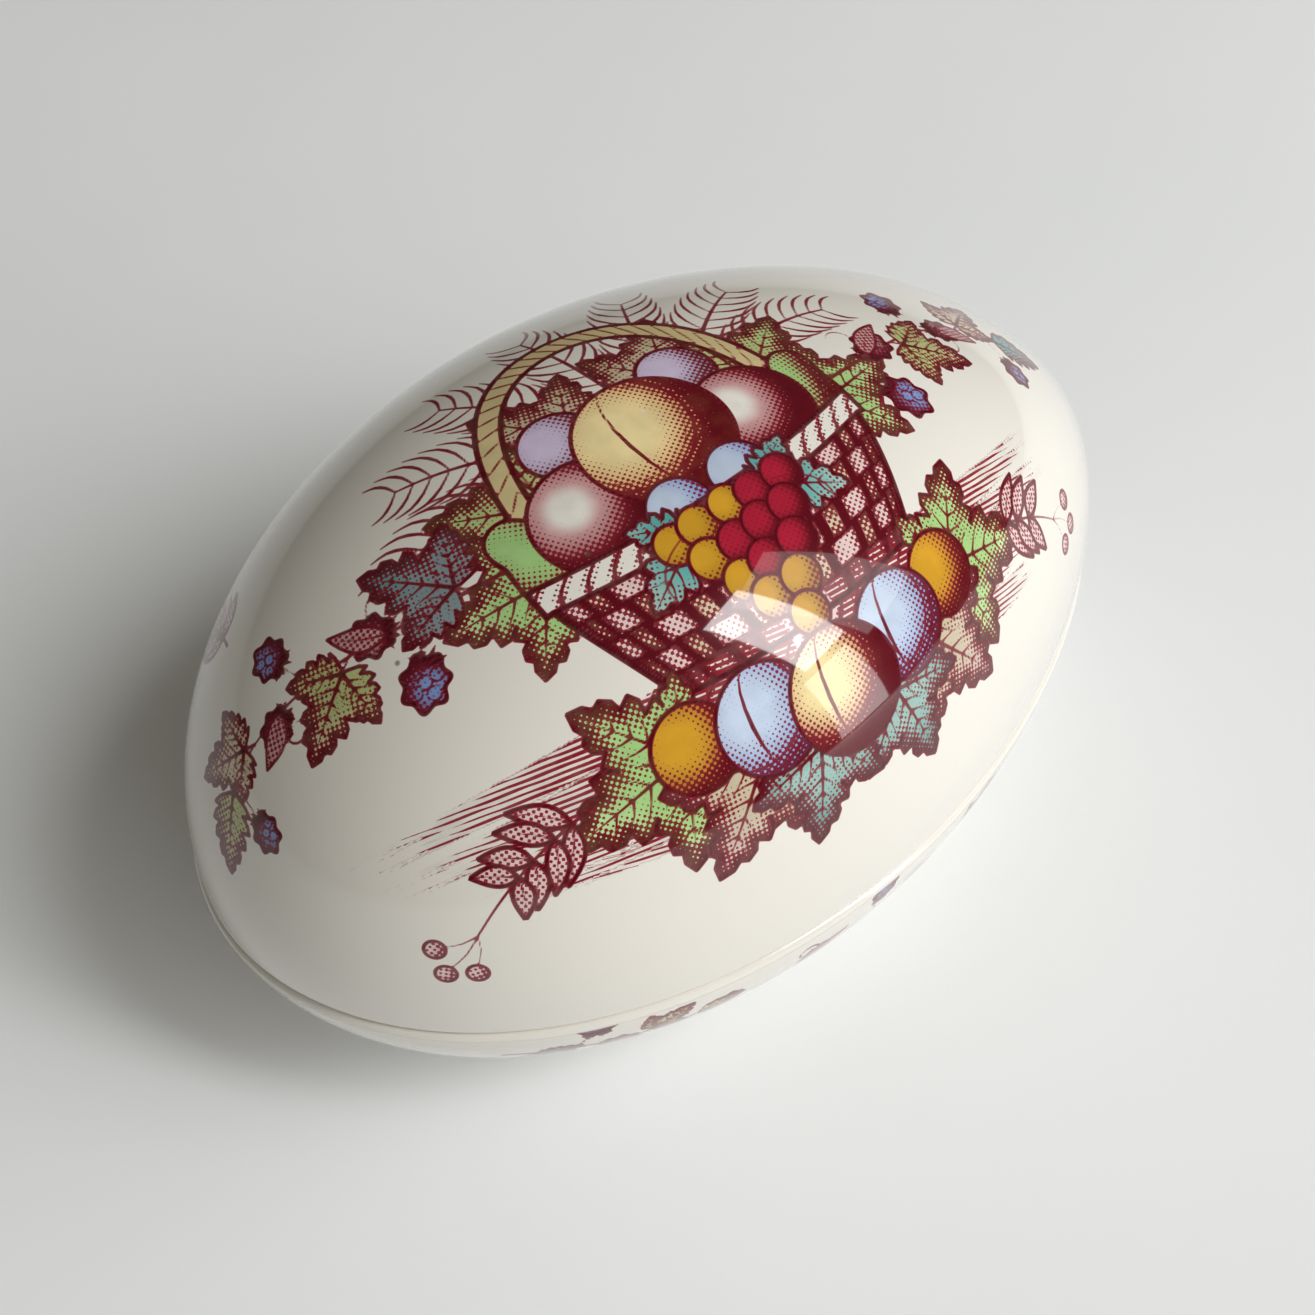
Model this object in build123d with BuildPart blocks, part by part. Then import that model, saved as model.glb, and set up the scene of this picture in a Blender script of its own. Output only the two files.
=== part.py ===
from build123d import *
from math import cos, pi, radians, sin
import os

# Egg-shaped porcelain trinket box, lying on its side, in millimetres.
# Two fired pieces meet at a level seam: a shallow base with a foot ring and a locating
# flange, and a domed lid that sits over the flange and lifts straight off.
# The frame has +X along the long axis towards the narrow end and +Z up. The origin is on the
# table, under the middle of the length.

# Driving dimensions
box_length = 100.0
box_width = 64.0
seam_height = 20.0
lid_height = 32.0

# Form of the egg
narrowing = 0.093  # how much leaner than the middle the +X end is, and fuller the -X end
plan_roundness = 1.95  # exponent of the outline along the length, where 2 is an ellipse
side_fullness = 2.25  # exponent of the cross-section, where 2 is an ellipse

# Walls and fits
lid_wall = 2.6
base_floor = 3.4
rim_gap = 0.15  # air between the two unglazed rims
lid_setback = 0.35  # the base's rim stands this much outside the lid
base_rim_round = 0.7
lid_rim_round = 0.4
flange_height = 2.4
flange_thickness = 1.3
flange_clearance = 0.45

# Foot, where the underside of the egg is ground flat and a shallow recess leaves a ring
base_depth = 21.5  # seam to the underside, had it not been ground flat
foot_ring_width = 3.2
foot_recess = 0.8
foot_round = 0.5

# Resolution of the lofted forms
outline_points = 36
level_angles = [0, 8, 17, 26, 35, 44, 53, 61, 69, 76, 82, 87]  # degrees up from the seam
edge_of_level = 1e-6


def fullness(u):
    """How full the egg is at u, from -1 at the blunt end to 1 at the narrow end."""
    return max(0.0, 1 - abs(u) ** plan_roundness) ** (1 / plan_roundness) * (1 - narrowing * u)


def fullest_place():
    """The u where the egg is fullest, a little towards the blunt end."""
    return max((step / 1000 for step in range(-400, 1)), key=fullness)


crown = fullest_place()
crown_fullness = fullness(crown)


def end_of_level(height_ratio, tip):
    """The u between the crown and a tip (-1 or 1) where the egg is just height_ratio full."""
    inner, outer = crown, float(tip)
    while abs(outer - inner) > edge_of_level:
        middle = (inner + outer) / 2
        if fullness(middle) > height_ratio * crown_fullness:
            inner = middle
        else:
            outer = middle
    return inner


def level_outline(length, width, height_ratio):
    """Points round the egg at one level, where height_ratio is 0 at the seam and 1 on top."""
    first = end_of_level(height_ratio, -1)
    last = end_of_level(height_ratio, 1)
    points = []
    for step in range(outline_points):
        angle = 2 * pi * step / outline_points
        u = (first + last) / 2 + (last - first) / 2 * cos(angle)
        room = fullness(u) ** side_fullness - (height_ratio * crown_fullness) ** side_fullness
        y = width / 2 * max(0.0, room) ** (1 / side_fullness)
        points.append((length / 2 * u, y if sin(angle) > 0 else -y))
    return points


def egg_level(length, width, height_ratio, z):
    """One level of the egg as a face at height z."""
    with BuildSketch(Plane.XY.offset(z)) as level:
        with BuildLine():
            Spline(*level_outline(length, width, height_ratio), periodic=True)
        make_face()
    return level.sketch


def half_egg(length, width, rise, z):
    """A solid half egg from the level z up by rise, or down where rise is negative."""
    levels = []
    for angle in level_angles:
        height_ratio = sin(radians(angle))
        levels.append(egg_level(length, width, height_ratio, z + rise * height_ratio))
    top = Vertex(length / 2 * crown, 0, z + rise)
    with BuildPart() as half:
        loft(sections=levels + [top])
    return half.part


def egg_plate(inset, bottom, top):
    """An upright plate with the box's outline at the seam, inset all round."""
    plan = egg_level(box_length - 2 * inset, box_width - 2 * inset, 0, bottom)
    with BuildPart() as plate:
        extrude(plan, amount=top - bottom)
    return plate.part


# Insets from the base's outline, worked inwards
lid_inside = lid_setback + lid_wall
flange_outside = lid_inside + flange_clearance
flange_inside = flange_outside + flange_thickness
flange_root = seam_height - 1.0

# Solid forms that the two shells are cut from
base_outer = half_egg(box_length, box_width, -base_depth, seam_height)
base_inner = half_egg(
    box_length - 2 * flange_inside,
    box_width - 2 * flange_inside,
    base_floor - seam_height,
    seam_height,
)
lid_outer = half_egg(
    box_length - 2 * lid_setback,
    box_width - 2 * lid_setback,
    lid_height - rim_gap,
    seam_height + rim_gap,
)
lid_inner = half_egg(
    box_length - 2 * lid_inside,
    box_width - 2 * lid_inside,
    lid_height - lid_wall - rim_gap,
    seam_height + rim_gap,
)
flange_outer = egg_plate(flange_outside, flange_root, seam_height + flange_height)
flange_inner = egg_plate(flange_inside, flange_root, seam_height + flange_height)
foot_level = seam_height / base_depth
foot_ends = [box_length / 2 * end_of_level(foot_level, tip) for tip in (-1, 1)]
foot_sides = [y for x, y in level_outline(box_length, box_width, foot_level)]
foot_middle = Plane(origin=(sum(foot_ends) / 2, 0, 0))

# Base: an open shell with the locating flange standing above its rim and a foot ring below
with BuildPart() as base:
    add(base_outer)
    outer_rim = base.faces().sort_by(Axis.Z)[-1].edges()
    fillet(outer_rim, radius=base_rim_round)
    split(bisect_by=Plane.XY, keep=Keep.TOP)
    foot_edge = base.faces().sort_by(Axis.Z)[0].edges()
    fillet(foot_edge, radius=foot_round)
    with BuildSketch(foot_middle):
        Ellipse(
            (foot_ends[1] - foot_ends[0]) / 2 - foot_ring_width,
            max(foot_sides) - foot_ring_width,
        )
    extrude(amount=foot_recess, mode=Mode.SUBTRACT)
    add(flange_outer)
    add(flange_inner, mode=Mode.SUBTRACT)
    add(base_inner, mode=Mode.SUBTRACT)
base.part.label = "base"

# Lid: a domed shell of even thickness, open below
with BuildPart() as lid:
    add(lid_outer)
    outer_rim = lid.faces().sort_by(Axis.Z)[0].edges()
    fillet(outer_rim, radius=lid_rim_round)
    add(lid_inner, mode=Mode.SUBTRACT)
lid.part.label = "lid"

os.makedirs("parts", exist_ok=True)
export_step(base.part, "parts/base.step")
export_step(lid.part, "parts/lid.step")
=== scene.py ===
import math

import bpy
import numpy as np
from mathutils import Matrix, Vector


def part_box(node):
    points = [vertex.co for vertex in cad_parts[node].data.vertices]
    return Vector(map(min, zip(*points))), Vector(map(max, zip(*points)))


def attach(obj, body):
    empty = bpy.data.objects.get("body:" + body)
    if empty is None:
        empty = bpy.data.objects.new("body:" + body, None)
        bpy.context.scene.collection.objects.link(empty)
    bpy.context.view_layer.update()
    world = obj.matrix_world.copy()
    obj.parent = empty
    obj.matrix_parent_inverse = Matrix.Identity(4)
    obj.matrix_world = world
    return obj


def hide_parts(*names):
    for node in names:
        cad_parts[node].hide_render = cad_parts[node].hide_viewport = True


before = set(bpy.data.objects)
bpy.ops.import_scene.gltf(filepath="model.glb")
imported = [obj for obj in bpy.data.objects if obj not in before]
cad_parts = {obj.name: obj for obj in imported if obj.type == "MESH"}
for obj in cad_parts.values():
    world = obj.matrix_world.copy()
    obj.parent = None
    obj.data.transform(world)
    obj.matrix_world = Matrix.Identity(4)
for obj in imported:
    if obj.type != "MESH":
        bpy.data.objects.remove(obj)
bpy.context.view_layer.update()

# Egg-shaped porcelain trinket box with a transfer print of a fruit basket.
# The box and its print are in millimetres, in the frame's own axes, until shell_mesh() turns them
# into metres. The studio round the box is in metres.

MM = 0.001
rng = np.random.default_rng(7)


# -------- sizes read from the frame

def box_mm(node):
    """The low and high corners of a CAD node's box."""
    low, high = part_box(node)
    return np.array(low) / MM, np.array(high) / MM


LID_LOW, LID_HIGH = box_mm("lid")
FLANGE_TOP = box_mm("base")[1][2]

LENGTH = 100.0
WIDTH = 64.0
RIM_GAP = 0.15
SEAM = LID_LOW[2] - RIM_GAP
LID_RISE = LID_HIGH[2] - LID_LOW[2]
BASE_DEPTH = 21.5

# Form of the egg, as in the CAD
NARROWING = 0.093
PLAN_ROUNDNESS = 1.95
SIDE_FULLNESS = 2.25
SETBACK = 0.35  # how far the lid stands inside the base's outline
LID_WALL = 2.6
LID_RIM_ROUND = 0.4
BASE_RIM_ROUND = 0.7
FLANGE_ROUND = 0.35
FLANGE_CLEARANCE = 0.45
FLANGE_THICKNESS = 1.3
BASE_FLOOR = 3.4
FOOT_RING_WIDTH = 3.2
FOOT_RECESS = 0.8
FOOT_ROUND = 0.5
FOOT_TURN, FOOT_TURN_RISE = 0.8, 0.05  # where the outside turns under, in from it and above 0
FOOT_STEP = ((0, 0.0), (0.1, 0.1), (0.2, FOOT_RECESS), (2.0, FOOT_RECESS))  # mm in from it, z
FLANGE_COVE = 0.15  # between the flange and the base's rim

# Degrees from the seam where the first and last rings of a dome stand, so that they keep clear of
# the rims' rounds, of the foot and of the points that close the crowns
LID_FROM, LID_TO = 0.9, 89.7
LID_INSIDE_FROM, INSIDE_TO = 1.2, 89
BASE_FROM, BASE_SHORT_OF_FOOT = 1.9, 1.5

# Mesh fineness: the gap between points, and the lengths that the points are spread over
LID_FINE = 0.21
BASE_FINE = 0.27
GIRTH = 260
LID_ARC = 58
BASE_ARC = 30
LID_COLUMNS = int(GIRTH / LID_FINE)
BASE_COLUMNS = int(GIRTH / BASE_FINE)
LID_ROWS = int(LID_ARC / LID_FINE)
BASE_ROWS = int(BASE_ARC / BASE_FINE)
INSIDE_ROWS = 45
CORNER_RINGS = 5


# -------- the egg's surface

def fullness(u):
    """How full the egg is at u, from -1 at the blunt end to 1 at the narrow end."""
    u = np.clip(u, -1, 1)
    return (1 - np.abs(u) ** PLAN_ROUNDNESS) ** (1 / PLAN_ROUNDNESS) * (1 - NARROWING * u)


CROWN = max(np.linspace(-0.4, 0, 401), key=fullness)  # the u where the egg is fullest
CROWN_FULLNESS = fullness(CROWN)


def level_end(ratio, tip):
    """The u between the crown and a tip where the egg is just ratio full."""
    inner, outer = CROWN, float(tip)
    for halving in range(40):
        middle = (inner + outer) / 2
        if fullness(middle) > ratio * CROWN_FULLNESS:
            inner = middle
        else:
            outer = middle
    return inner


def level(inset, ratio, columns):
    """Points round the egg at one level. Ratio is 0 at the seam and 1 at the crown."""
    first, last = level_end(ratio, -1), level_end(ratio, 1)
    turn = 2 * np.pi * np.arange(columns) / columns
    u = (first + last) / 2 + (last - first) / 2 * np.cos(turn)
    room = fullness(u) ** SIDE_FULLNESS - (ratio * CROWN_FULLNESS) ** SIDE_FULLNESS
    y = (WIDTH / 2 - inset) * np.clip(room, 0, None) ** (1 / SIDE_FULLNESS)
    return np.stack([(LENGTH / 2 - inset) * u, np.where(np.sin(turn) > 0, y, -y)], 1)


def at(along, around):
    """The glazed surface point at along mm from the middle and around degrees from the top.

    Around is negative towards the front (-Y); past 90 degrees either way it is on the base.
    """
    angle = np.radians(np.asarray(around, float))
    sine, cosine = np.sin(angle), np.cos(angle)
    inset = np.where(cosine >= 0, SETBACK, 0.0)
    height = np.where(cosine >= 0, LID_RISE, BASE_DEPTH) / CROWN_FULLNESS
    across = (np.abs(sine) / (WIDTH / 2 - inset)) ** SIDE_FULLNESS
    upward = (np.abs(cosine) / height) ** SIDE_FULLNESS
    reach = fullness(along / (LENGTH / 2 - inset)) / (across + upward) ** (1 / SIDE_FULLNESS)
    return np.stack([along + 0 * reach, reach * sine, SEAM + reach * cosine], -1)


def outward(point):
    """The surface's outward direction at a point on the egg."""
    x, y, z = point
    height = LID_RISE if z >= SEAM else BASE_DEPTH
    u = x / (LENGTH / 2)
    step = 1e-4
    slope = (fullness(u + step) ** SIDE_FULLNESS - fullness(u - step) ** SIDE_FULLNESS) / (2 * step)
    power = SIDE_FULLNESS - 1
    dx = -slope / (LENGTH / 2)
    dy = SIDE_FULLNESS * np.sign(y) * (abs(y) / (WIDTH / 2)) ** power / (WIDTH / 2)
    rise = height / CROWN_FULLNESS
    dz = SIDE_FULLNESS * np.sign(z - SEAM) * (abs(z - SEAM) / rise) ** power / rise
    normal = np.array([dx, dy, dz])
    return normal / np.linalg.norm(normal)


# -------- shells made of rings

class Rings:
    """A shell's rings of points in order, all with the same number of points."""

    def __init__(self, columns):
        self.columns = columns
        self.made = []

    def points(self):
        """How many points there are so far."""
        return len(self.made) * self.columns

    def add(self, inset, ratio, z):
        """One ring round the egg at height z."""
        flat = level(inset, ratio, self.columns)
        self.made.append(np.column_stack([flat, np.full(self.columns, z)]))

    def dome(self, inset, bottom, rise, angles):
        """Rings at angles from the seam up to the crown, or down where rise is negative."""
        for ratio in np.sin(np.radians(angles)):
            self.add(inset, ratio, bottom + rise * ratio)

    def corner(self, inset, z, radius, turn_from, turn_to):
        """Rings round a rim's edge, about a centre at that inset and height."""
        for turn in np.radians(np.linspace(turn_from, turn_to, CORNER_RINGS)):
            self.add(inset - radius * math.cos(turn), 0, z + radius * math.sin(turn))


def shell_mesh(name, rings, first_centre, last_centre):
    """A closed mesh through rings of equal count, capped by a point at each end."""
    columns = len(rings[0])
    points = np.concatenate([*rings, [first_centre, last_centre]]) * MM
    start = np.arange(len(rings) - 1)[:, None] * columns
    here = np.arange(columns)
    after = (here + 1) % columns
    quads = np.stack(
        [start + here, start + after, start + columns + after, start + columns + here], -1
    ).reshape(-1, 4)
    first, last = len(points) - 2, len(points) - 1
    last_start = (len(rings) - 1) * columns
    cap_a = np.stack([after, here, np.full(columns, first)], 1)
    cap_b = np.stack([last_start + here, last_start + after, np.full(columns, last)], 1)
    corners = np.concatenate([quads.ravel(), cap_a.ravel(), cap_b.ravel()])
    sizes = np.concatenate([np.full(len(quads), 4), np.full(2 * columns, 3)])
    mesh = bpy.data.meshes.new(name)
    mesh.vertices.add(len(points))
    mesh.vertices.foreach_set("co", points.astype(np.float32).ravel())
    mesh.loops.add(len(corners))
    mesh.loops.foreach_set("vertex_index", corners.astype(np.int32))
    mesh.polygons.add(len(sizes))
    loop_starts = np.concatenate([[0], sizes.cumsum()[:-1]])
    mesh.polygons.foreach_set("loop_start", loop_starts.astype(np.int32))
    mesh.update(calc_edges=True)
    mesh.validate()
    mesh.polygons.foreach_set("use_smooth", np.ones(len(sizes), bool))
    obj = bpy.data.objects.new(name, mesh)
    bpy.context.scene.collection.objects.link(obj)
    return obj


def make_lid():
    """The domed lid, and the slice of its points that make its outside.

    The rings run from the inner dome round the rim, then up the outside to the crown.
    """
    rings = Rings(LID_COLUMNS)
    inside = SETBACK + LID_WALL
    bottom = LID_LOW[2]
    edge_z = bottom + LID_RIM_ROUND
    inner_rise = LID_RISE - LID_WALL
    rings.dome(inside, bottom, inner_rise, np.linspace(INSIDE_TO, LID_INSIDE_FROM, INSIDE_ROWS))
    rings.corner(inside - LID_RIM_ROUND, edge_z, LID_RIM_ROUND, 180, 270)
    rings.corner(SETBACK + LID_RIM_ROUND, edge_z, LID_RIM_ROUND, -90, 0)
    first = rings.points()
    rings.dome(SETBACK, bottom, LID_RISE, np.linspace(LID_FROM, LID_TO, LID_ROWS))
    top = [LENGTH / 2 * CROWN, 0, bottom + LID_RISE]
    under_top = [LENGTH / 2 * CROWN, 0, bottom + inner_rise]
    return shell_mesh("lid_shell", rings.made, under_top, top), slice(first, -2)


def make_base():
    """The base, and the slice of its points that make its outside.

    The rings run up the bowl, over the flange and the rim, then down the outside to the foot.
    """
    rings = Rings(BASE_COLUMNS)
    outer_lip = SETBACK + LID_WALL + FLANGE_CLEARANCE
    inner_lip = outer_lip + FLANGE_THICKNESS
    lip_z = FLANGE_TOP - FLANGE_ROUND
    rings.dome(inner_lip, SEAM, BASE_FLOOR - SEAM, np.linspace(INSIDE_TO, 0, INSIDE_ROWS))
    rings.corner(inner_lip - FLANGE_ROUND, lip_z, FLANGE_ROUND, 180, 90)
    rings.corner(outer_lip + FLANGE_ROUND, lip_z, FLANGE_ROUND, 90, 0)
    rings.add(outer_lip, 0, SEAM + FLANGE_COVE)
    rings.add(outer_lip - FLANGE_COVE, 0, SEAM)
    rings.corner(BASE_RIM_ROUND, SEAM - BASE_RIM_ROUND, BASE_RIM_ROUND, 90, 0)
    first = rings.points()
    foot_ratio = SEAM / BASE_DEPTH
    foot_angle = math.degrees(math.asin(foot_ratio))
    angles = np.linspace(BASE_FROM, foot_angle - BASE_SHORT_OF_FOOT, BASE_ROWS)
    rings.dome(0, SEAM, -BASE_DEPTH, angles)
    outside = slice(first, rings.points())
    rings.add(0, foot_ratio, FOOT_TURN_RISE)
    rings.add(FOOT_TURN, foot_ratio, 0)
    edge = rings.made[-1][:, :2]
    middle = edge.mean(0)
    reach = np.linalg.norm(edge - middle, axis=1)[:, None]
    recess_edge = middle + (edge - middle) * (1 - (FOOT_RING_WIDTH - FOOT_ROUND) / reach)
    for inwards, z in FOOT_STEP:
        inner_edge = recess_edge - (recess_edge - middle) * inwards / reach
        rings.made.append(np.column_stack([inner_edge, np.full(rings.columns, z)]))
    floor_middle = [LENGTH / 2 * CROWN, 0, BASE_FLOOR]
    recess_middle = [middle[0], 0, FOOT_RECESS]
    obj = shell_mesh("base_shell", rings.made, floor_middle, recess_middle)
    obj.data.flip_normals()  # these rings run over the rim, and the lid's run under theirs
    return obj, outside


# -------- the transfer print

# Hand colours, as linear RGB
CREAM = np.array([0.77, 0.74, 0.675])
LEAF_GREEN = np.array([0.36, 0.60, 0.22])
PALE_GREEN = np.array([0.56, 0.76, 0.38])
OLIVE = np.array([0.36, 0.40, 0.17])
STONE = np.array([0.55, 0.47, 0.33])
TEAL = np.array([0.06, 0.25, 0.24])
PALE_TEAL = np.array([0.34, 0.55, 0.50])
SLATE = np.array([0.13, 0.17, 0.18])
OCHRE = np.array([0.52, 0.27, 0.02])
ORANGE = np.array([0.62, 0.22, 0.06])
STRAW = np.array([0.85, 0.70, 0.36])
CRIMSON = np.array([0.24, 0.008, 0.022])
ROSE = np.array([0.62, 0.36, 0.36])
LILAC = np.array([0.50, 0.42, 0.56])
BLUE = np.array([0.20, 0.30, 0.60])
PALE_BLUE = np.array([0.50, 0.58, 0.72])
PLUM = np.array([0.09, 0.03, 0.07])
PINK = np.array([0.74, 0.56, 0.54])

DOT_PITCH = 0.42
LINE_PITCH = 0.45
STEM_EDGE = 0.26  # half the width of a coloured stem's inked outline
FAR_OUTSIDE = -9.0  # how far inside a shape a point counts that is nowhere near it


def smooth(low, high, value):
    """0 below low, 1 above high, and a soft step between."""
    t = np.clip((value - low) / (high - low), 0, 1)
    return t * t * (3 - 2 * t)


def mix(first, second, share):
    """Blend two colours or numbers by a share that may vary from point to point."""
    share = np.asarray(share, float)
    if np.ndim(first) or np.ndim(second):
        share = share[..., None]
    return first * (1 - share) + second * share


class Print:
    """What the print carries at each point of a shell's outside."""

    def __init__(self, points):
        count = len(points)
        self.points = points
        self.paint = np.tile(CREAM, (count, 1))
        self.ink = np.full(count, FAR_OUTSIDE)  # mm inside the line work, negative outside
        self.tone = np.zeros(count)  # how much of the ground the halftone dots cover
        self.dots_at = np.zeros((count, 2))  # halftone grid coordinates, in dots
        self.hatch = np.zeros(count)  # how much of the ground engraved lines cover
        self.lines_at = np.zeros(count)  # hatching coordinate, in lines


class Patch:
    """The print within reach of a place, with flat coordinates u (ahead) and v (to the left)."""

    def __init__(self, sheet, place, reach):
        origin = at(place.along, place.around)
        normal = outward(origin)
        u_axis = at(*place(0.5, 0)) - origin
        u_axis = u_axis - normal * (u_axis @ normal)
        u_axis /= np.linalg.norm(u_axis)
        offset = sheet.points - origin
        self.sheet = sheet
        self.index = np.flatnonzero((offset ** 2).sum(1) < (reach * place.scale) ** 2)
        self.flat = offset[self.index] @ np.column_stack([u_axis, np.cross(normal, u_axis)])
        self.u, self.v = self.flat.T


def turned(points, degrees):
    """Flat points turned about (0, 0)."""
    c, s = math.cos(math.radians(degrees)), math.sin(math.radians(degrees))
    return np.asarray(points, float) @ np.array([[c, s], [-s, c]])


def inside_polygon(u, v, outline):
    """Signed distance from points to a closed outline, positive inside."""
    outline = np.asarray(outline, float)
    nearest = np.full(len(u), 1e9)
    within = np.zeros(len(u), bool)
    for (u0, v0), (u1, v1) in zip(outline, np.roll(outline, -1, axis=0)):
        du, dv = u1 - u0, v1 - v0
        along = np.clip(((u - u0) * du + (v - v0) * dv) / (du * du + dv * dv + 1e-12), 0, 1)
        nearest = np.minimum(nearest, np.hypot(u - u0 - along * du, v - v0 - along * dv))
        crosses = (v0 > v) != (v1 > v)
        within ^= crosses & (u < du * (v - v0) / (dv + (dv == 0)) + u0)
    return np.where(within, nearest, -nearest)


def lay(patch, inside, colour, tone, edge, hatch=0.0, dot_turn=35.0, lines=None):
    """Lay one opaque shape on the print: colour, halftone, hatching and an inked outline."""
    sheet, chosen = patch.sheet, inside > 0
    index = patch.index[chosen]
    if len(index) == 0:
        return
    for layer, value in ((sheet.paint, colour), (sheet.tone, tone), (sheet.hatch, hatch)):
        layer[index] = np.broadcast_to(value, chosen.shape + layer.shape[1:])[chosen]
    sheet.dots_at[index] = turned(patch.flat[chosen], -dot_turn) / DOT_PITCH
    if lines is not None:
        sheet.lines_at[index] = lines[chosen] / LINE_PITCH
    clear_and_outline(sheet, patch.index, inside, edge)


def clear_and_outline(sheet, index, inside, edge):
    """Wipe the line work under a shape, then ink its outline."""
    sheet.ink[index] = np.minimum(sheet.ink[index], -inside)
    add_ink(sheet, index, edge - np.abs(inside))


def add_ink(sheet, index, inked):
    """Add line work, given how many mm inside it each point is."""
    sheet.ink[index] = np.maximum(sheet.ink[index], inked)


def inside_line(places, stations, widths):
    """How far inside a tapering line through the stations each place is, flat or in 3-D."""
    best = np.full(len(places), FAR_OUTSIDE)
    shares = np.linspace(0, 1, len(stations))
    halves = np.interp(shares, np.linspace(0, 1, len(widths)), widths) / 2
    for start, end, h0, h1 in zip(stations[:-1], stations[1:], halves[:-1], halves[1:]):
        run = end - start
        t = np.clip(((places - start) @ run) / (run @ run + 1e-12), 0, 1)
        gap = np.linalg.norm(places - start - t[:, None] * run, axis=1)
        best = np.maximum(best, h0 + t * (h1 - h0) - gap)
    return best


def line(patch, points, widths, within=None):
    """Ink a tapering line in a patch's flat coordinates."""
    inked = inside_line(patch.flat, np.asarray(points, float), widths)
    if within is not None:
        inked = np.minimum(inked, within)
    add_ink(patch.sheet, patch.index, inked)


def curve_through(points, steps):
    """A smooth run of points, as a Catmull-Rom curve, through the given ones."""
    points = np.asarray(points, float)
    padded = np.concatenate([[2 * points[0] - points[1]], points, [2 * points[-1] - points[-2]]])
    run = []
    for a, b, c, d in zip(padded[:-3], padded[1:-2], padded[2:-1], padded[3:]):
        for t in np.arange(steps) / steps:
            squared = (2 * a - 5 * b + 4 * c - d) * t ** 2
            cubed = (3 * b - a - 3 * c + d) * t ** 3
            run.append(0.5 * (2 * b + (c - a) * t + squared + cubed))
    run.append(points[-1])
    return np.array(run)


def stem(sheet, points, widths, colour=None):
    """Ink a tapering line over the egg through 3-D points; a coloured one gets inked sides."""
    middle = points.mean(0)
    reach = np.linalg.norm(points - middle, axis=1).max() + 2
    index = np.flatnonzero(((sheet.points - middle) ** 2).sum(1) < reach ** 2)
    inside = inside_line(sheet.points[index], points, widths)
    if colour is None:
        add_ink(sheet, index, inside)
        return
    covered = index[inside > 0]
    sheet.paint[covered] = colour
    sheet.tone[covered] = 0
    sheet.hatch[covered] = 0
    clear_and_outline(sheet, index, inside, STEM_EDGE)


# -------- wrapping a flat design

ALONG_STEPS = np.linspace(-LENGTH / 2 + SETBACK, LENGTH / 2 - SETBACK, 600)
GIRTH_FACTOR = 1.02  # the cross-section's mean radius over its height
LAST_ALONG = 49.0  # motifs go no nearer to the tips than this
LEAST_RADIUS = 3.0  # so that they don't wrap too far round near the tips


def radius_at(along):
    """Roughly how far the glaze is from the egg's axis."""
    return GIRTH_FACTOR * LID_RISE * fullness(along / (LENGTH / 2 - SETBACK)) / CROWN_FULLNESS


RADIUS_STEPS = radius_at(ALONG_STEPS)
ARC_STEPS = np.append(0, np.cumsum(np.hypot(np.diff(ALONG_STEPS), np.diff(RADIUS_STEPS))))


class Place:
    """A spot on the egg with a heading, where 0 degrees points to the narrow end.

    Calling it with x mm ahead and y mm to the left gives (along, around) of that point.
    """

    def __init__(self, along, around, heading=0.0, scale=1.0):
        self.along, self.around = along, around
        self.heading, self.scale = heading, scale

    def __call__(self, x, y):
        ahead, left = self.scale * turned((x, y), self.heading)
        arc = np.interp(self.along, ALONG_STEPS, ARC_STEPS) + ahead
        along = float(np.clip(np.interp(arc, ARC_STEPS, ALONG_STEPS), -LAST_ALONG, LAST_ALONG))
        return along, self.around + math.degrees(left / max(LEAST_RADIUS, radius_at(along)))

    def beside(self, x, y, heading=0.0):
        """Another place x ahead and y to the left, turned by heading from this one."""
        return Place(*self(x, y), self.heading + heading, self.scale)


def run_at(place, points, steps):
    """A smooth run of surface points through flat points about a place."""
    stations = np.array([place(x, y) for x, y in curve_through(points, steps)])
    return at(stations[:, 0], stations[:, 1])


def stem_at(sheet, place, points, widths, steps=3):
    """Ink a tapering line through flat points about a place."""
    stem(sheet, run_at(place, points, steps), widths)


def thinned(path, every):
    """Every so many points of a turning path, without their headings."""
    return [(x, y) for x, y, heading in path[::every]]


def turning_path(length, first_bend, last_bend, steps=24):
    """A stem that turns by first_bend degrees at its start and last_bend at its end.

    Each item is x, y and the heading there.
    """
    x, y, heading = 0.0, 0.0, 0.0
    path = [(x, y, heading)]
    for step in range(steps):
        heading += (first_bend + (last_bend - first_bend) * step / steps) / steps
        x += length / steps * math.cos(math.radians(heading))
        y += length / steps * math.sin(math.radians(heading))
        path.append((x, y, heading))
    return path


# -------- motifs

# Leaf shapes, as the turn and the relative length of each lobe
SIMPLE = ((0, 1.0),)
TREFOIL = ((62, 0.72), (-62, 0.72), (0, 1.0))
VINE = ((122, 0.60), (-122, 0.60), (60, 0.86), (-60, 0.86), (0, 1.0))
LOBE_WIDTH = 0.66  # over the lobe's length
TEETH = 5
BITE = 0.32  # how deep the teeth are cut, over the lobe's half width
VEIN_WIDTH = 0.28
SHADED_RIM = 0.2  # how wide the leaf's dark rim is, over its size
STREAK_LEAN = 8.0  # degrees between engraved ground lines and their patch
STROKES_ON_FROND = 11
FROND_WIDTH = 0.46
BERRIES_ON_SPRIG = 3


def half_width(share, length):
    """Half the width of a leaf lobe at a share of its length."""
    return LOBE_WIDTH * length / 2 * math.sin(math.pi * min(1.0, share) ** 0.62) ** 0.75


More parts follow.
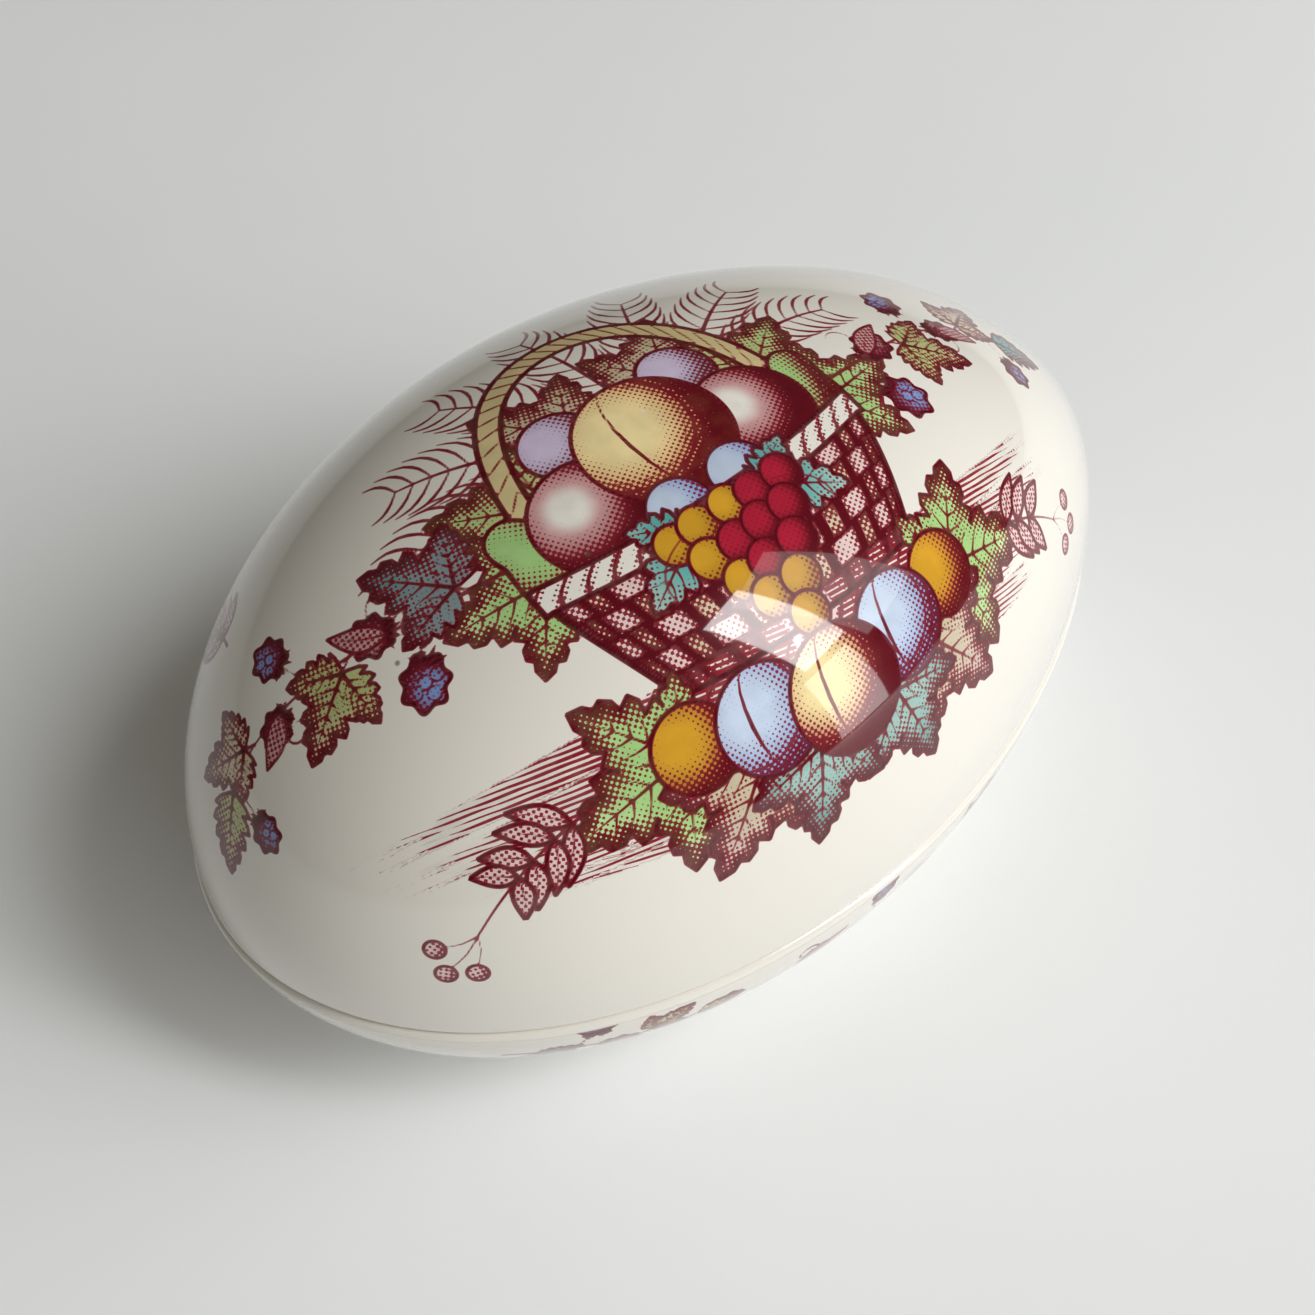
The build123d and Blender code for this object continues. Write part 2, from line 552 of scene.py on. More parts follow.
def lobe_outline(length):
    """One pointed leaf lobe from (0, 0) to (length, 0), with teeth leaning to its tip."""
    side = []
    for tooth in range(TEETH):
        for share, stand in ((0.1, 1 - BITE), (0.55, 1.0), (1.02, 1 + BITE * 0.45)):
            t = (tooth + share) / TEETH
            side.append((t * length, half_width(t, length) * stand))
    upper = [(0.0, 0.0)] + side[:-1] + [(length, 0.0)]
    return upper + [(u, -v) for u, v in upper[-2:0:-1]]


def lobe_veins(length):
    """The midrib and side veins of one lobe, each with how heavy it is."""
    veins = [([(0, 0), (length * 0.45, 0), (length * 0.93, 0)], 1.5)]
    for tooth in range(1, TEETH):
        t = tooth / TEETH * 0.9
        reach = half_width(t, length) * 0.72
        for side in (1, -1):
            knee = (t * length * 0.86 + reach * 0.3, side * reach * 0.42)
            end = (t * length * 0.9 + reach * 0.8, side * reach)
            veins.append(([(t * length * 0.86, 0), knee, end], 1))
    return veins


def leaf(sheet, place, size, colour, tip_colour, lobes=SIMPLE, tone=0.4, rim_tone=0.95, edge=0.17):
    """A toothed leaf that grows from the place, with as many lobes as it's given."""
    patch = Patch(sheet, place, size * 1.1)
    size = size * place.scale
    inside = np.full(len(patch.u), FAR_OUTSIDE)
    shaded_side = np.zeros(len(patch.u))
    for angle, share in lobes:
        u, v = turned(patch.flat, -angle).T
        length = size * share
        lobe = inside_polygon(u, v, lobe_outline(length))
        shaded_side = np.where(lobe > inside, smooth(0.0, 0.12 * length, -v), shaded_side)
        inside = np.maximum(inside, lobe)
    away = np.hypot(patch.u, patch.v) / size
    paint = mix(colour, tip_colour, smooth(0.3, 1.0, away))
    shade = (1 - smooth(0.0, size * SHADED_RIM, inside)) * smooth(0.25, 0.7, away)
    tones = tone * (0.45 + 0.85 * shaded_side) * (1 - shade) + rim_tone * shade
    lay(patch, inside, paint, tones, edge)
    for angle, share in lobes:
        for points, weight in lobe_veins(size * share):
            line(patch, turned(points, angle), (VEIN_WIDTH * weight, 0.09), inside + edge)


def fruit(sheet, place, radius, light, dark, shine=(-0.3, 0.3), tones=(0.1, 0.9), highlight=0.0,
          soft=(0.3, 1.3), edge=0.2, neck=0.0, cleft=False, contours=0.0):
    """A round fruit, lit from its upper left, with halftone dots that grow into the shade.

    A neck makes it a pear that points ahead, and contours add engraved lines to its shade.
    """
    patch = Patch(sheet, place, radius * (1.15 + neck) + 0.6)
    radius = radius * place.scale
    u, v = patch.u, patch.v
    inside = radius - np.hypot(u, v)
    if neck:
        top = radius * 0.55 - np.hypot(u - radius * neck, v)
        near = np.clip(0.5 + 0.5 * (inside - top) / (radius * 0.5), 0, 1)
        inside = top * (1 - near) + inside * near + radius * 0.5 * near * (1 - near)
    shine_u, shine_v = turned(shine, -place.heading)
    stretched = np.where(u > 0, u / (1 + neck), u)
    away = np.hypot(stretched / radius - shine_u, v / radius - shine_v)
    shade = smooth(soft[0], soft[1], away)
    paint = mix(light, dark, shade)
    if highlight:
        paint = mix(CREAM * 1.05, paint, smooth(highlight * 0.4, highlight, away))
        shade = shade * smooth(highlight * 0.6, highlight * 1.3, away)
    hatch = contours * smooth(0.35, 1.0, shade)
    tone = mix(tones[0], tones[1], shade)
    lay(patch, inside, paint, tone, edge, hatch, 30.0, away * radius * 0.6)
    if cleft:
        turns = np.linspace(0.15, 2.9, 9)
        bow = [(radius * math.cos(t), radius * 0.34 * math.sin(t)) for t in turns]
        line(patch, bow, (0.1, 0.38, 0.08), inside)


def bramble(sheet, place, size, colour, light):
    """A blackberry that hangs ahead of the place, under a small leafy cap."""
    centre = place.beside(size * 0.9, 0)
    patch = Patch(sheet, centre, size * 2 + 0.6)
    size = size * place.scale
    angle = np.arctan2(patch.v, patch.u)
    radius = size * (0.88 + 0.10 * np.cos(7 * angle)) * (1 + 0.16 * np.cos(angle) ** 2)
    inside = radius - np.hypot(patch.u, patch.v)
    shade = smooth(0.2, 1.2, np.hypot(patch.u / size - 0.2, patch.v / size - 0.25))
    lay(patch, inside, mix(light, colour, shade), mix(0.2, 0.85, shade), edge=0.22)
    for bead_u, bead_v in ((0.4, 0.38), (-0.32, 0.45), (0, 0), (0.42, -0.34), (-0.34, -0.42)):
        bead = np.hypot(patch.u - bead_u * size, patch.v - bead_v * size)
        add_ink(sheet, patch.index, np.minimum(0.1 - np.abs(bead - 0.27 * size), inside))
    for lean in (120, 160, 200, 240):
        cap = turned([(0, 0), (size * 0.45, 0), (size * 0.9, 0)], lean)
        line(patch, [(u - size * 0.55, v) for u, v in cap], (0.2, 0.5, 0.1))


def blade(sheet, place, length, width, colour, tone, bend=0.12, edge=0.15):
    """A plain smooth leaf that grows ahead from the place."""
    patch = Patch(sheet, place, length * 1.05)
    length, width = length * place.scale, width * place.scale
    steps = np.linspace(0, 1, 9)
    half = width / 2 * np.sin(np.pi * steps ** 0.8)
    arch = bend * length * steps * (1 - steps) * 2
    outline = list(zip(steps * length, arch + half))
    outline += list(zip(steps * length, arch - half))[-2:0:-1]
    inside = inside_polygon(patch.u, patch.v, outline)
    lay(patch, inside, colour, tone, edge)
    line(patch, list(zip(steps * length, arch))[:-1], (0.24, 0.08), inside)


def curl(sheet, place, length, spin):
    """A tendril that winds up at its end."""
    path = turning_path(length, 20 * spin, 900 * spin, 36)
    stem_at(sheet, place, thinned(path, 2), (0.34, 0.34, 0.17), 2)


def frond(sheet, place, length, bend, reach):
    """A fine feathery plume: a bending rib with hooked strokes on both sides."""
    path = turning_path(length, bend * 0.4, bend, STROKES_ON_FROND * 2)
    width = FROND_WIDTH
    stem_at(sheet, place, thinned(path, 3), (width, width * 1.1, width * 0.8))
    for stroke in range(STROKES_ON_FROND):
        x, y, heading = path[stroke * 2 + 1]
        swell = math.sin(math.pi * (stroke + 1) / (STROKES_ON_FROND + 1))
        size = reach * (0.5 + 0.5 * swell)
        for side in (1, -1):
            foot = place.beside(x, y, heading + side * 58)
            hook = [(0, 0), (0.4, 0), (0.75, -side * 0.12), (1, -side * 0.36)]
            scaled = [(u * size, v * size) for u, v in hook]
            stem_at(sheet, foot, scaled, (width * 0.8, width, width * 0.7), 2)


def streaks(sheet, place, length, width, strength):
    """A patch of engraved ground shading that fades ahead of the place."""
    patch = Patch(sheet, place, length + width)
    length, width = length * place.scale, width * place.scale
    share = np.clip(patch.u / length, 0, 1)
    ragged = 0.12 * np.sin(patch.v * 5.3) + 0.08 * np.sin(patch.v * 11.7 + 1)
    half = width / 2 * (1 - 0.55 * share)
    ends = np.minimum(patch.u, length * (1 + ragged) - patch.u)
    inside = np.minimum(half - np.abs(patch.v), ends)
    fade = strength * (1 - smooth(0.35, 1.05, share + ragged))
    lines = turned(patch.flat, STREAK_LEAN)[:, 1]
    chosen = inside > 0
    index = patch.index[chosen]
    free = fade[chosen] > sheet.hatch[index]
    index, chosen = index[free], np.flatnonzero(chosen)[free]
    sheet.hatch[index] = fade[chosen]
    sheet.lines_at[index] = lines[chosen] / LINE_PITCH
    sheet.paint[index] = mix(CREAM, PINK, 0.6 * fade[chosen])


# -------- sprays and bunches

SPRAY_LEAVES = (
    (SLATE * 1.7, TEAL * 1.1),
    (OLIVE * 1.3, STONE * 1.1),
    (TEAL * 1.4, SLATE * 1.6),
    (STONE * 1.15, OLIVE),
)
BERRIES = ((PLUM, LILAC), (PLUM * 1.3, BLUE), (PLUM, ROSE * 0.7))


def spray(sheet, place, length, first_bend, last_bend, count, size, start=0):
    """A bending stem with leaves, brambles and tendrils to either side by turns."""
    path = turning_path(length, first_bend, last_bend)
    stem_at(sheet, place, thinned(path, 3), (0.5, 0.4, 0.28))
    for item in range(count):
        x, y, heading = path[int((item + 0.7) / count * (len(path) - 1))]
        side = 1 if item % 2 else -1
        shrink = 1 - 0.35 * item / count
        kind = (item + start) % 3
        foot = place.beside(x, y, heading + side * (52 if kind else 40))
        if kind == 1:
            stem_at(sheet, foot, [(0, 0), (1.6, side * 0.2), (3.2, side * 0.7)], (0.32, 0.26))
            bramble(sheet, foot.beside(3.2, side * 0.7, side * 14), 1.9 * shrink,
                    *BERRIES[(item + start) % len(BERRIES)])
            stem_at(sheet, foot, [(0, 0), (1.0, -side * 1.0), (1.7, -side * 2.4)], (0.3, 0.24))
            bramble(sheet, foot.beside(1.7, -side * 2.4, -side * 70), 1.7 * shrink,
                    *BERRIES[(item + start + 1) % len(BERRIES)])
        elif kind == 2:
            curl(sheet, foot, 9 * shrink, side)
            blade(sheet, foot.beside(0, 0, side * -24), 5.2 * shrink, 1.8, ROSE * 0.9, 0.5)
        else:
            colour, tip = SPRAY_LEAVES[(item + start) // 2 % len(SPRAY_LEAVES)]
            stem_at(sheet, foot, [(0, 0), (0.8, 0), (1.4, 0)], (0.4, 0.35), 2)
            leaf(sheet, foot.beside(1.2, 0), size * shrink, colour, tip, TREFOIL)
    colour, tip = SPRAY_LEAVES[(start + 1) % len(SPRAY_LEAVES)]
    leaf(sheet, place.beside(*path[-1]), size * 0.8, colour, tip)


def berry_sprig(sheet, place, length, bend, leaves=4):
    """A mulberry-ink sprig of narrow leaves that ends in stalked berries."""
    path = turning_path(length, bend, bend)
    stem_at(sheet, place, thinned(path, 4), (0.4, 0.24))
    for step in range(leaves):
        x, y, heading = path[4 + step * 14 // leaves]
        for side in (1, -1):
            foot = place.beside(x, y, heading + side * 48)
            blade(sheet, foot, 4.4 - 0.4 * step, 1.5, PINK, 0.45, side * 0.1, 0.2)
    x, y, heading = path[-1]
    for berry in range(BERRIES_ON_SPRIG):
        foot = place.beside(x, y, heading + (berry - (BERRIES_ON_SPRIG - 1) / 2) * 34)
        reach = 3.4 if berry % 2 else 2.6
        stem_at(sheet, foot, [(0, 0), (reach / 2, 0.2), (reach, 0)], (0.22, 0.16), 2)
        fruit(sheet, foot.beside(reach + 0.6, 0), 0.75, PINK, ROSE, tones=(0.4, 0.7), edge=0.16)


def grapes(sheet, place, rows, radius):
    """A bunch of grapes that narrows ahead of the place, in ochre and dark red."""
    pitch = radius * 1.62
    for row in range(rows):
        across = rows - row
        for k in range(across):
            spot = place.beside(row * pitch * 0.88 + rng.uniform(-0.25, 0.25),
                                (k - (across - 1) / 2) * pitch + rng.uniform(-0.25, 0.25))
            spot.heading = 0  # so that every grape is lit from the same side
            red = rng.random() < 0.25 + 0.5 * k / rows
            if red:
                fruit(sheet, spot, radius, CRIMSON * 1.7, CRIMSON, tones=(0.2, 0.95), edge=0.18)
            else:
                fruit(sheet, spot, radius, OCHRE * 1.2, OCHRE * 0.7, tones=(0.0, 0.6), edge=0.18)


# -------- the picture on the lid

# A stock fruit basket, the same on its left and right, laid out about the middle of its rim with
# x along the egg and y up the picture.
PICTURE = Place(-5.0, -19.0, 0.0, 1.14)
BASKET_HALF = 14.0
BASKET_HEIGHT = 9.5
BASKET_SAG = 1.8
BASKET_TAPER = 0.26
WEAVE_COLUMNS = 13
WEAVE_ROWS = 5
HOOP_HALF = 11.5
HOOP_HEIGHT = 20.5


def rope(patch, low, height, inside, pitch, paint):
    """A twisted band that follows a low edge across the patch."""
    up = patch.v - low
    band = np.minimum(np.minimum(up, height - up), inside)
    turn = patch.u / pitch - 0.9 * up / height + 0.18 * np.sin(math.pi * np.clip(up / height, 0, 1))
    strand = np.abs(turn - np.round(turn))
    lay(patch, band, paint, np.clip(0.75 - 1.7 * strand, 0.0, 0.8), edge=0.26)
    add_ink(patch.sheet, patch.index, np.minimum(0.13 - strand * pitch * 0.7, band))


def basket(sheet):
    """A round wicker basket with a twisted rim and foot."""
    patch = Patch(sheet, PICTURE, BASKET_HALF + 4)
    scale = PICTURE.scale
    half, height, sag = BASKET_HALF * scale, BASKET_HEIGHT * scale, BASKET_SAG * scale
    bow = sag * (1 - np.clip(patch.u / half, -1, 1) ** 2)
    rim = height * 0.1 - bow
    depth = np.clip((rim - patch.v) / height, 0, 1.2)
    reach = half * (1 - BASKET_TAPER * depth ** 1.3)
    share = np.clip(patch.u / reach, -1, 1)
    wall = np.minimum(reach - np.abs(patch.u), np.minimum(rim - patch.v, patch.v - rim + height))
    lay(patch, wall, CRIMSON, 0.97, edge=0.32)
    column = (np.arcsin(share) / math.pi + 0.5) * WEAVE_COLUMNS
    row = depth * WEAVE_ROWS
    from_column = np.abs(column % 1 - 0.5)
    from_row = np.abs(row % 1 - 0.5)
    over = (np.floor(column) + np.floor(row)) % 2 > 0
    column_width = math.pi * reach / WEAVE_COLUMNS * np.sqrt(1 - share ** 2 * 0.95)
    row_height = height / WEAVE_ROWS
    strand = np.minimum((0.47 - from_column) * column_width, (0.40 - from_row) * row_height)
    stake = np.minimum((0.24 - from_column) * column_width, (0.49 - from_row) * row_height)
    side_shade = 0.35 * share ** 2
    for chosen, shape, paint, tone in (
            (over, strand, PINK, 0.16 + 1.3 * from_column ** 1.5),
            (~over, stake, STONE * 1.2, 0.36 + 0.6 * from_row)):
        inside = np.minimum(np.where(chosen, shape, FAR_OUTSIDE), wall - 0.25)
        lay(patch, inside, paint, np.clip(tone + side_shade, 0, 0.95), edge=0.1)
    from_middle = np.abs(patch.u)
    foot_half = half * (1 - BASKET_TAPER)
    rope(patch, rim - 0.4, 2.1 * scale, half + 0.6 - from_middle, 1.9 * scale, CREAM)
    rope(patch, rim - height - 1.1, 1.5 * scale, foot_half + 0.4 - from_middle, 1.6 * scale, PINK)


def hoop(sheet):
    """The basket's arched wicker handle, bound with crossing strokes."""
    turns = np.linspace(0, math.pi, 31)
    arch = [(HOOP_HALF * math.cos(t), HOOP_HEIGHT * math.sin(t) ** 0.8) for t in turns]
    stem(sheet, run_at(PICTURE, arch, 3), (2.2, 2.2), STRAW * 0.75)
    for (x0, y0), (x1, y1) in zip(arch[:-1], arch[1:]):
        stroke = [(x0 * 0.96, y0 * 0.96), (x1 * 1.04, y1 * 1.04)]
        stem_at(sheet, PICTURE, stroke, (0.34, 0.42, 0.34))


def leaf_fan(sheet, place, leaves, tone, edge):
    """The same leaves to both sides: each is x, y, its lean from upright, size and colours."""
    for side in (1, -1):
        for x, y, lean, size, colour, tip in leaves:
            foot = place.beside(side * x, y, 90 - side * lean)
            leaf(sheet, foot, size, colour, tip, VINE, tone=tone, edge=edge)


def heap(sheet):
    """Fruit piled above the rim in matching pairs, laid from back to front."""
    leaf_fan(sheet, PICTURE, (
        (4.5, 11, 28, 8.0, STONE, OLIVE),
        (9.5, 7, 52, 8.6, OLIVE * 1.3, LEAF_GREEN),
        (13, 2.5, 80, 7.8, LEAF_GREEN, PALE_GREEN)), 0.35, 0.17)
    hoop(sheet)
    for side in (1, -1):
        fruit(sheet, PICTURE.beside(side * 5.4, 11.0), 3.0, LILAC * 1.25, LILAC * 0.6,
              tones=(0.1, 0.75))
        fruit(sheet, PICTURE.beside(side * 11.6, 3.4, 90 - side * 24), 3.1, LEAF_GREEN, OLIVE,
              soft=(0.1, 1.1), neck=1.15, contours=0.5)
        fruit(sheet, PICTURE.beside(side * 7.4, 4.6), 4.6, ROSE, CRIMSON * 1.2, (-0.25, 0.3),
              (0.1, 1.0), highlight=0.5, soft=(0.3, 1.15), contours=0.6)
    fruit(sheet, PICTURE.beside(0, 7.2, 90), 5.8, STRAW * 1.05, ORANGE, tones=(0.05, 0.95),
          soft=(0.3, 1.25), cleft=True, contours=0.8)
    for side in (1, -1):
        fruit(sheet, PICTURE.beside(side * 2.7, 1.2), 2.5, PALE_BLUE, BLUE, tones=(0.0, 0.6))


def over_the_rim(sheet):
    """A bunch of grapes that hangs down the middle of the basket, between two leaves."""
    for side in (1, -1):
        leaf(sheet, PICTURE.beside(side * 3.2, -0.6, 90 - side * 118), 6.6, TEAL * 1.5, PALE_TEAL,
             TREFOIL, tone=0.0, rim_tone=0.5, edge=0.2)
    grapes(sheet, PICTURE.beside(0, -0.6, -90), 5, 1.55)
    for side in (1, -1):
        curl(sheet, PICTURE.beside(side * 4.0, -0.5, 90 - side * 105), 12, -side)


def windfalls(sheet):
    """Ground shading, with leaves and small fruit in a fan below the basket."""
    ground = PICTURE.beside(0, -13.0)
    for side in (1, -1):
        for step in range(5):
            heading = (0 if side > 0 else 180) + rng.uniform(-5, 5)
            streaks(sheet, ground.beside(side * (2 + step), 3.0 - 2.0 * step, heading),
                    31 - 3.0 * step + rng.uniform(-3, 3), 3.4, 0.74 - 0.05 * step)
    leaf_fan(sheet, ground, (
        (12.5, 0.2, 100, 9.4, LEAF_GREEN, PALE_GREEN),
        (8.0, -3.0, 138, 8.6, STONE, PINK * 0.8),
        (3.6, -4.6, 162, 7.4, PALE_TEAL * 0.85, TEAL)), 0.3, 0.2)
    for side in (1, -1):
        fruit(sheet, ground.beside(side * 11.6, 0.2), 3.1, OCHRE * 1.2, ORANGE * 0.6)
        fruit(sheet, ground.beside(side * 6.2, -0.8, 90), 3.9, PALE_BLUE * 1.1, BLUE * 0.9,
              tones=(0.1, 0.8), soft=(0.3, 1.4), cleft=True, contours=0.5)
    fruit(sheet, ground.beside(0, -2.2, 90), 4.6, STRAW, CRIMSON * 1.6, tones=(0.1, 1.0),
          soft=(0.25, 1.25), cleft=True, contours=0.8)


def print_lid(points):
    """The whole picture on the lid, laid from back to front, and a garland behind it."""
    sheet = Print(points)
    for step in range(7):
        heading = 160 - step * 23
        frond(sheet, PICTURE.beside(-6 + 2.2 * step, 9, heading), 15, 14 * (3 - step), 4.4)
    heap(sheet)
    basket(sheet)
    over_the_rim(sheet)
    windfalls(sheet)
    spray(sheet, PICTURE.beside(-15, 5, 168), 25, -40, 100, 8, 7.4)
    spray(sheet, PICTURE.beside(15, 4, 4), 22, 30, -110, 7, 7.0, 1)
    berry_sprig(sheet, PICTURE.beside(-19, -11, 186), 12, 30)
    berry_sprig(sheet, PICTURE.beside(19, -12, -8), 9, -24, 3)
    for along, heading in ((-38, 70), (34, 100)):
        berry_sprig(sheet, Place(along, 34, heading), 9, 24, 3)
    back = Place(-2, 68)
    for heading, bend in ((0, 40), (180, -40)):
        spray(sheet, back.beside(0, 0, heading), 30, bend, -bend, 7, 6.2)
    return sheet


def print_base(points):
    """A broken garland of small sprays along both sides of the base, just under the seam."""
    sheet = Print(points)
    for side in (-1, 1):
        for step in range(4):
            spray(sheet, Place(-38 + 20 * step, side * 101, -8 * side), 17, 30 * side, -36 * side,
                  5, 5.4, step)
    for along in (-46, 46.5):
        berry_sprig(sheet, Place(along, 150, 90), 8, 10, 3)
    return sheet


# -------- materials

LINE_INK = (0.080, 0.0015, 0.007, 1)
DOT_INK = (0.27, 0.014, 0.030, 1)  # the same ink where it lies thinner
SPECK = (0.10, 0.06, 0.04, 1)
BODY_DARK, BODY_PALE = (0.60, 0.53, 0.42, 1), (0.72, 0.66, 0.55, 1)
COVER_GAIN, COVER_OFFSET = 1.30, -0.17  # so that an amount of 0 is bare glaze and 1 is solid


class Nodes:
    """A small helper for building the node tree of a material or the world."""

    def __init__(self, owner):
        owner.use_nodes = True
        self.owner = owner
        self.tree = owner.node_tree

    def fill(self, node, inputs):
        """Give a node's inputs numbers or colours, or link other nodes' outputs to them."""
        for key, value in inputs.items():
            if isinstance(value, bpy.types.NodeSocket):
                self.tree.links.new(value, node.inputs[key])
            else:
                node.inputs[key].default_value = value

    def add(self, kind, inputs, **settings):
        """The outputs of a new node with these inputs and settings."""
        node = self.tree.nodes.new(kind)
        for key, value in settings.items():
            setattr(node, key, value)
        self.fill(node, inputs)
        return node.outputs

    def finished(self, settings):
        """The material, once its surface has these settings."""
        self.fill(self.tree.nodes["Principled BSDF"], settings)
        return self.owner

    def math(self, operation, *values):
        """One operation on numbers or outputs."""
        return self.add("ShaderNodeMath", dict(enumerate(values)), operation=operation)[0]

    def step(self, value, low, high, to_low=0.0, to_high=1.0):
        """A soft step from to_low to to_high as the value goes from low to high."""
        limits = {"From Min": low, "From Max": high, "To Min": to_low, "To Max": to_high}
        return self.add("ShaderNodeMapRange", {"Value": value, **limits},
                        interpolation_type="SMOOTHSTEP")["Result"]

    def mix(self, share, first, second, blend="MIX"):
        """Two colours mixed, where a share of 1 gives the second, or all of the blend."""
        return self.add("ShaderNodeMix", {"Factor": share, "A": first, "B": second},
                        data_type="RGBA", blend_type=blend)["Result"]

    def place(self):
        """The place on the object, in metres."""
        return self.add("ShaderNodeTexCoord", {})["Object"]

    def noise(self, scale, detail=2.0):
        """Noise with about scale features a metre."""
        inputs = {"Scale": scale, "Detail": detail, "Vector": self.place()}
        return self.add("ShaderNodeTexNoise", inputs)["Fac"]

    def bump(self, height, strength, distance):
        """The normal of a surface with small heights, where distance is in metres."""
        inputs = {"Strength": strength, "Distance": distance, "Height": height}
        return self.add("ShaderNodeBump", inputs)["Normal"]

    def split(self, name):
        """The three parts of one of the mesh's vector attributes."""
        whole = self.add("ShaderNodeAttribute", {}, attribute_name=name)["Vector"]
        return self.add("ShaderNodeSeparateXYZ", {0: whole})[:3]


def kiln_specks(n):
    """How much of a rare dark speck there is at each point of the glaze."""
    cells = n.add("ShaderNodeTexVoronoi", {"Scale": 140, "Vector": n.place()})
    tiny = n.step(cells["Distance"], 0.055, 0.035)
    chance = n.add("ShaderNodeSeparateColor", {0: cells["Color"]})[0]
    rare = n.step(chance, 0.60, 0.62)
    return n.math("MULTIPLY", n.math("MULTIPLY", tiny, rare), 0.75)


def glaze_finish(n, colour):
    """A clear, slightly uneven glaze with a few kiln specks over the given colour."""
    specked = n.mix(kiln_specks(n), colour, SPECK)
    cloud = n.step(n.noise(28, 3), 0.3, 0.7, 0.965, 1.0)
    return n.finished({
        "Base Color": n.mix(1.0, specked, cloud, "MULTIPLY"),
        "Roughness": n.step(n.noise(220), 0.35, 0.7, 0.16, 0.24),
        "Specular IOR Level": 0.06,
        "Coat Weight": 1.0,
        "Coat Roughness": 0.035,
        "Coat IOR": 1.5,
        "Coat Normal": n.bump(n.noise(150, 1), 0.12, 0.00004),
    })


def printed_glaze():
    """Glazed porcelain with the print under the glaze, read from the mesh's own attributes."""
    n = Nodes(bpy.data.materials.new("printed_glaze"))
    colours = n.add("ShaderNodeAttribute", {}, attribute_name="paint")
    paint, painted = colours["Color"], colours["Alpha"]
    ink, tone, hatch = n.split("marks")
    waves = [n.math("COSINE", n.math("MULTIPLY", part, 2 * math.pi)) for part in n.split("grid")]
    dots = n.math("MULTIPLY_ADD", n.math("ADD", waves[0], waves[1]), 0.25, 0.5)
    rulings = n.math("MULTIPLY_ADD", waves[2], 0.5, 0.5)
    wear = n.step(n.noise(900), 0.3, 0.7, -0.05, 0.05)

    def screen(amount, pattern):
        """Where the dots or lines of a pattern are inked, for an amount of cover."""
        cover = n.math("MULTIPLY_ADD", amount, COVER_GAIN, COVER_OFFSET)
        level = n.math("SUBTRACT", cover, n.math("SUBTRACT", 1.0, pattern))
        return n.step(n.math("ADD", level, wear), -0.07, 0.07)

    screened = n.math("MAXIMUM", screen(tone, dots), screen(hatch, rulings))
    inked = n.math("MAXIMUM", n.step(ink, -0.035, 0.035), screened)
    wash = n.step(n.noise(420, 3), 0.3, 0.72, 0.92, 1.05)
    washed = n.mix(painted, paint, wash, "MULTIPLY")
    deep = n.math("MAXIMUM", n.step(ink, 0.0, 0.17), n.step(tone, 0.45, 1.0, 0.0, 0.75))
    ink_colour = n.mix(0.3, n.mix(deep, DOT_INK, LINE_INK), paint, "MULTIPLY")
    density = n.step(n.noise(700, 2), 0.3, 0.7, 0.95, 1.0)
    return glaze_finish(n, n.mix(n.math("MULTIPLY", inked, density), washed, ink_colour))


def bare_body():
    """Unglazed fired body on the rims and the foot ring."""
    n = Nodes(bpy.data.materials.new("bare_body"))
    grain = n.noise(1800, 4)
    return n.finished({
        "Base Color": n.mix(n.step(grain, 0.3, 0.7), BODY_DARK, BODY_PALE),
        "Roughness": 0.75,
        "Normal": n.bump(grain, 1.0, 0.00005),
    })


# -------- the two shells

def in_mm(items, key):
    """Where each of a mesh's points or faces is, in mm."""
    places = np.zeros(len(items) * 3, np.float32)
    items.foreach_get(key, places)
    return places.reshape(-1, 3).astype(float) / MM


def put_print(obj, outside, draw):
    """Draw the print on the shell's outside; the rest stays bare glaze."""
    mesh, count = obj.data, len(obj.data.vertices)
    sheet = draw(in_mm(mesh.vertices, "co")[outside])
    paint = np.tile([*CREAM, 0.0], (count, 1))
    paint[outside, :3] = sheet.paint
    paint[outside, 3] = np.abs(sheet.paint - CREAM).max(1) > 0.01  # 1 where there is a hand colour
    marks = np.tile([FAR_OUTSIDE, 0.0, 0.0], (count, 1))
    marks[outside] = np.stack([sheet.ink, sheet.tone, sheet.hatch], 1)
    grid = np.zeros((count, 3))
    grid[outside] = np.column_stack([sheet.dots_at, sheet.lines_at])
    for name, kind, values, key in (("paint", "FLOAT_COLOR", paint, "color"),
                                    ("marks", "FLOAT_VECTOR", marks, "vector"),
                                    ("grid", "FLOAT_VECTOR", grid, "vector")):
        attribute = mesh.attributes.new(name, kind, "POINT")
        attribute.data.foreach_set(key, values.astype(np.float32).ravel())


def finish_shell(obj, outside, draw, is_bare, node):
    """Print and glaze a shell, bare at the heights where is_bare says so, in place of its node."""
    put_print(obj, outside, draw)
    for material in (printed, bare):
        obj.data.materials.append(material)
    slots = is_bare(in_mm(obj.data.polygons, "center")[:, 2])
    obj.data.polygons.foreach_set("material_index", slots.astype(np.int32))
    obj.data.update()
    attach(obj, node)
    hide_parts(node)


# How far the glaze stays from the lid's lowest point, from the seam and from the table
BARE_LID_RIM = 0.1
BARE_BASE_RIM = 0.02
BARE_FOOT = 0.04


def lid_is_bare(z):
    """Whether the lid is unglazed at a height: only the underside of its rim is."""
    return z < LID_LOW[2] + BARE_LID_RIM


def base_is_bare(z):
    """Whether the base is unglazed at a height: the foot ring and the level rim are."""
    return (z < BARE_FOOT) | (abs(z - SEAM) < BARE_BASE_RIM)


printed, bare = printed_glaze(), bare_body()
finish_shell(*make_lid(), print_lid, lid_is_bare, "lid")
finish_shell(*make_base(), print_base, base_is_bare, "base")


# -------- floor, lights and camera

